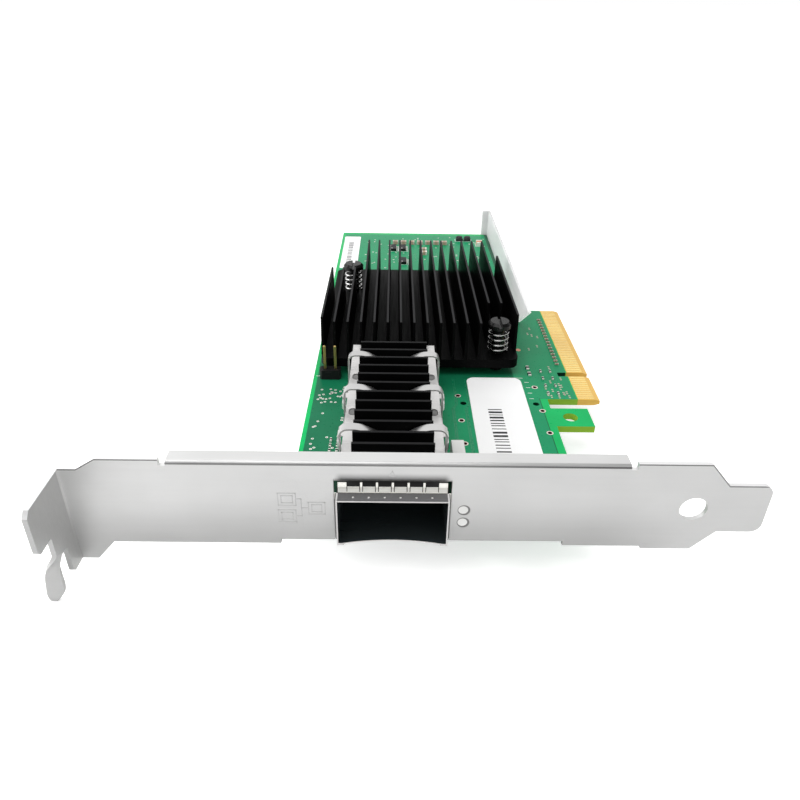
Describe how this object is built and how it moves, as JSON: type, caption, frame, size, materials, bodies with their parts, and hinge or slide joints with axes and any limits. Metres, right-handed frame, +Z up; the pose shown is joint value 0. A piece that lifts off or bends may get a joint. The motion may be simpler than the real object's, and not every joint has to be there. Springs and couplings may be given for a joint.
{
  "type": "network interface card",
  "caption": "Slot-in network card with a caged transceiver port on a full-height bracket, finned heatsinks over the port and the controller, and a gold edge connector.",
  "frame": {"origin": "where the port's centre line crosses the bracket's outer face, at the height of the board's component face", "axes": "+X along the bracket towards the edge connector, +Y from the bracket into the card, +Z up from the board's component face"},
  "size_m": [0.1233, 0.184, 0.0255],
  "materials": {
    "solder_mask": "gloss solder mask over woven laminate",
    "gold": "gold plated",
    "bracket_steel": "bright plated sheet",
    "cage_steel": "bright plated sheet",
    "spring_steel": "bright spring steel",
    "black_plastic": "moulded, matt",
    "black_anodised": "black anodised extrusion",
    "pin_plastic": "moulded, satin",
    "chip_laminate": "resist on laminate",
    "chip_metal": "nickel plated",
    "pad_rubber": "soft filled silicone",
    "plate_paint": "light grey coat",
    "clear_plastic": "clear moulding, polished",
    "lamp_plastic": "clear resin",
    "label_paper": "satin label stock",
    "tan_ceramic": "fired, with tinned ends",
    "chip_plastic": "moulded package",
    "inductor_ferrite": "ferrite, matt",
    "tantalum_plastic": "moulded package",
    "resistor_ceramic": "glazed",
    "crystal_metal": "plated can"
  },
  "bodies": {
    "card": {"board": "solder_mask", "edge_contacts": "gold", "bracket": "bracket_steel", "bracket_screws": "spring_steel", "port_cage": "cage_steel", "cage_gasket": "cage_steel", "port_connector": "black_plastic", "port_contacts": "gold", "heatsink_clip": "spring_steel", "main_heatsink": "black_anodised", "push_pins": "pin_plastic", "push_pin_springs": "spring_steel", "chip_substrate": "chip_laminate", "chip_lid": "chip_metal", "thermal_pad": "pad_rubber", "side_plate": "plate_paint", "header_body": "black_plastic", "header_pins": "gold", "light_pipe": "clear_plastic", "status_lamps": "lamp_plastic", "board_label": "label_paper", "rear_label": "label_paper", "bulk_capacitors": "tan_ceramic", "filter_capacitors": "tan_ceramic", "regulator_chips": "chip_plastic", "power_inductors": "inductor_ferrite", "tantalum_capacitor": "tantalum_plastic", "chip_resistors": "resistor_ceramic", "signal_capacitors": "tan_ceramic", "coupling_capacitors": "tan_ceramic", "decoupling_capacitors": "tan_ceramic", "flash_chip": "chip_plastic", "crystal": "crystal_metal"},
    "cage_heatsink": {"cage_heatsink": "black_anodised"}
  },
  "joints": [
    {"name": "cage_heatsink_lift", "type": "slide", "parent": "card", "child": "cage_heatsink", "axis": [0, 0, 1], "range_m": [0, 0.00045], "stiffness_N_per_m": 2000, "deforming": ["heatsink_clip"]}
  ]
}
